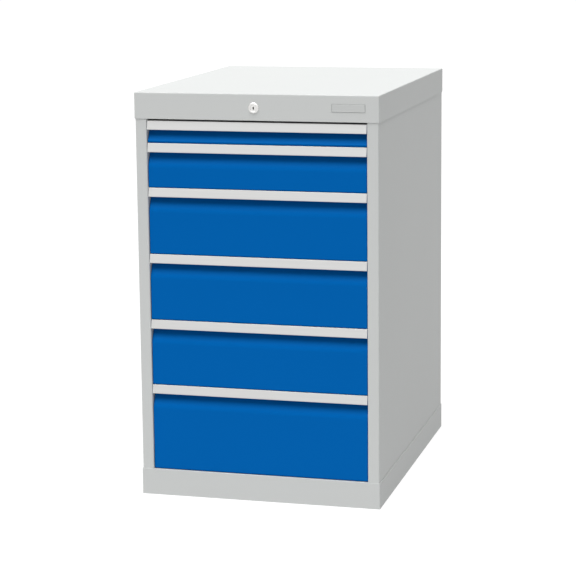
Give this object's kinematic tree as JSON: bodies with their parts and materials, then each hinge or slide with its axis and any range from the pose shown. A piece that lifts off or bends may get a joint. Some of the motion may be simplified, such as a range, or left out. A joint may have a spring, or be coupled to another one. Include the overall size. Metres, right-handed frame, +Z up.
{
  "type": "drawer cabinet",
  "caption": "Floor-standing sheet-steel workshop cabinet with full-extension drawers on telescopic runners, aluminium grip strips and a central cylinder lock.",
  "frame": {"origin": "on the floor, under the middle of the whole cabinet's box", "axes": "+X to the right seen from the front, +Y from the front to the back, +Z up"},
  "size_m": [0.555, 0.7384, 0.919],
  "materials": {
    "body_grey": "fine powder coat, light grey",
    "front_blue": "fine powder coat, gentian blue",
    "grip_aluminium": "satin anodised",
    "tray_grey": "powder coat, light grey",
    "runner_zinc": "bright zinc plated",
    "lock_nickel": "satin nickel plated",
    "lock_steel": "zinc plated",
    "glide_plastic": "black moulded"
  },
  "bodies": {
    "cabinet": {"top_hood": "body_grey", "base_plinth": "body_grey", "side_wall_left": "body_grey", "side_wall_right": "body_grey", "back_wall": "body_grey", "floor_panel": "body_grey", "runner_uprights": "runner_zinc", "lock_housing": "lock_nickel", "lock_nut": "lock_steel", "rod_bearing": "lock_steel", "rod_bush": "glide_plastic", "lock_bar_brackets": "lock_steel", "lock_bar_glides": "glide_plastic", "drawer_1_outer_rails": "runner_zinc", "drawer_2_outer_rails": "runner_zinc", "drawer_3_outer_rails": "runner_zinc", "drawer_4_outer_rails": "runner_zinc", "drawer_5_outer_rails": "runner_zinc", "drawer_6_outer_rails": "runner_zinc"},
    "drawer_1": {"drawer_1_tray": "tray_grey", "drawer_1_front": "front_blue", "drawer_1_grip": "grip_aluminium", "drawer_1_catch": "lock_steel", "drawer_1_inner_rails": "runner_zinc"},
    "runner_1": {"drawer_1_middle_rails": "runner_zinc"},
    "drawer_2": {"drawer_2_tray": "tray_grey", "drawer_2_front": "front_blue", "drawer_2_grip": "grip_aluminium", "drawer_2_catch": "lock_steel", "drawer_2_inner_rails": "runner_zinc"},
    "runner_2": {"drawer_2_middle_rails": "runner_zinc"},
    "drawer_3": {"drawer_3_tray": "tray_grey", "drawer_3_front": "front_blue", "drawer_3_grip": "grip_aluminium", "drawer_3_catch": "lock_steel", "drawer_3_inner_rails": "runner_zinc"},
    "runner_3": {"drawer_3_middle_rails": "runner_zinc"},
    "drawer_4": {"drawer_4_tray": "tray_grey", "drawer_4_front": "front_blue", "drawer_4_grip": "grip_aluminium", "drawer_4_catch": "lock_steel", "drawer_4_inner_rails": "runner_zinc"},
    "runner_4": {"drawer_4_middle_rails": "runner_zinc"},
    "drawer_5": {"drawer_5_tray": "tray_grey", "drawer_5_front": "front_blue", "drawer_5_grip": "grip_aluminium", "drawer_5_catch": "lock_steel", "drawer_5_inner_rails": "runner_zinc"},
    "runner_5": {"drawer_5_middle_rails": "runner_zinc"},
    "drawer_6": {"drawer_6_tray": "tray_grey", "drawer_6_front": "front_blue", "drawer_6_grip": "grip_aluminium", "drawer_6_catch": "lock_steel", "drawer_6_inner_rails": "runner_zinc"},
    "runner_6": {"drawer_6_middle_rails": "runner_zinc"},
    "lock": {"lock_plug": "lock_nickel", "rod_coupler": "lock_steel", "lock_rod": "lock_steel", "lock_crank": "lock_steel"},
    "lock_bar": {"lock_bar": "lock_steel"}
  },
  "joints": [
    {"name": "drawer_1_slide", "type": "slide", "parent": "cabinet", "child": "drawer_1", "axis": [0, -1, 0], "range_m": [0, 0.6]},
    {"name": "runner_1_slide", "type": "slide", "parent": "cabinet", "child": "runner_1", "axis": [0, -1, 0], "range_m": [0, 0.3]},
    {"name": "drawer_2_slide", "type": "slide", "parent": "cabinet", "child": "drawer_2", "axis": [0, -1, 0], "range_m": [0, 0.6]},
    {"name": "runner_2_slide", "type": "slide", "parent": "cabinet", "child": "runner_2", "axis": [0, -1, 0], "range_m": [0, 0.3]},
    {"name": "drawer_3_slide", "type": "slide", "parent": "cabinet", "child": "drawer_3", "axis": [0, -1, 0], "range_m": [0, 0.6]},
    {"name": "runner_3_slide", "type": "slide", "parent": "cabinet", "child": "runner_3", "axis": [0, -1, 0], "range_m": [0, 0.3]},
    {"name": "drawer_4_slide", "type": "slide", "parent": "cabinet", "child": "drawer_4", "axis": [0, -1, 0], "range_m": [0, 0.6]},
    {"name": "runner_4_slide", "type": "slide", "parent": "cabinet", "child": "runner_4", "axis": [0, -1, 0], "range_m": [0, 0.3]},
    {"name": "drawer_5_slide", "type": "slide", "parent": "cabinet", "child": "drawer_5", "axis": [0, -1, 0], "range_m": [0, 0.6]},
    {"name": "runner_5_slide", "type": "slide", "parent": "cabinet", "child": "runner_5", "axis": [0, -1, 0], "range_m": [0, 0.3]},
    {"name": "drawer_6_slide", "type": "slide", "parent": "cabinet", "child": "drawer_6", "axis": [0, -1, 0], "range_m": [0, 0.6]},
    {"name": "runner_6_slide", "type": "slide", "parent": "cabinet", "child": "runner_6", "axis": [0, -1, 0], "range_m": [0, 0.3]},
    {"name": "lock_turn", "type": "hinge", "parent": "cabinet", "child": "lock", "pos_m": [-0.0025, -0.36675, 0.888], "axis": [0, 1, 0], "range_deg": [0, 90]},
    {"name": "lock_bar_lift", "type": "slide", "parent": "cabinet", "child": "lock_bar", "axis": [0, 0, 1], "range_m": [0, 0.01414]}
  ],
  "couplings": [
    {"joint": "runner_1_slide", "follows": "drawer_1_slide", "ratio": 0.5},
    {"joint": "runner_2_slide", "follows": "drawer_2_slide", "ratio": 0.5},
    {"joint": "runner_3_slide", "follows": "drawer_3_slide", "ratio": 0.5},
    {"joint": "runner_4_slide", "follows": "drawer_4_slide", "ratio": 0.5},
    {"joint": "runner_5_slide", "follows": "drawer_5_slide", "ratio": 0.5},
    {"joint": "runner_6_slide", "follows": "drawer_6_slide", "ratio": 0.5},
    {"joint": "lock_turn", "follows": "lock_bar_lift", "rad_per_m": 111.07}
  ]
}
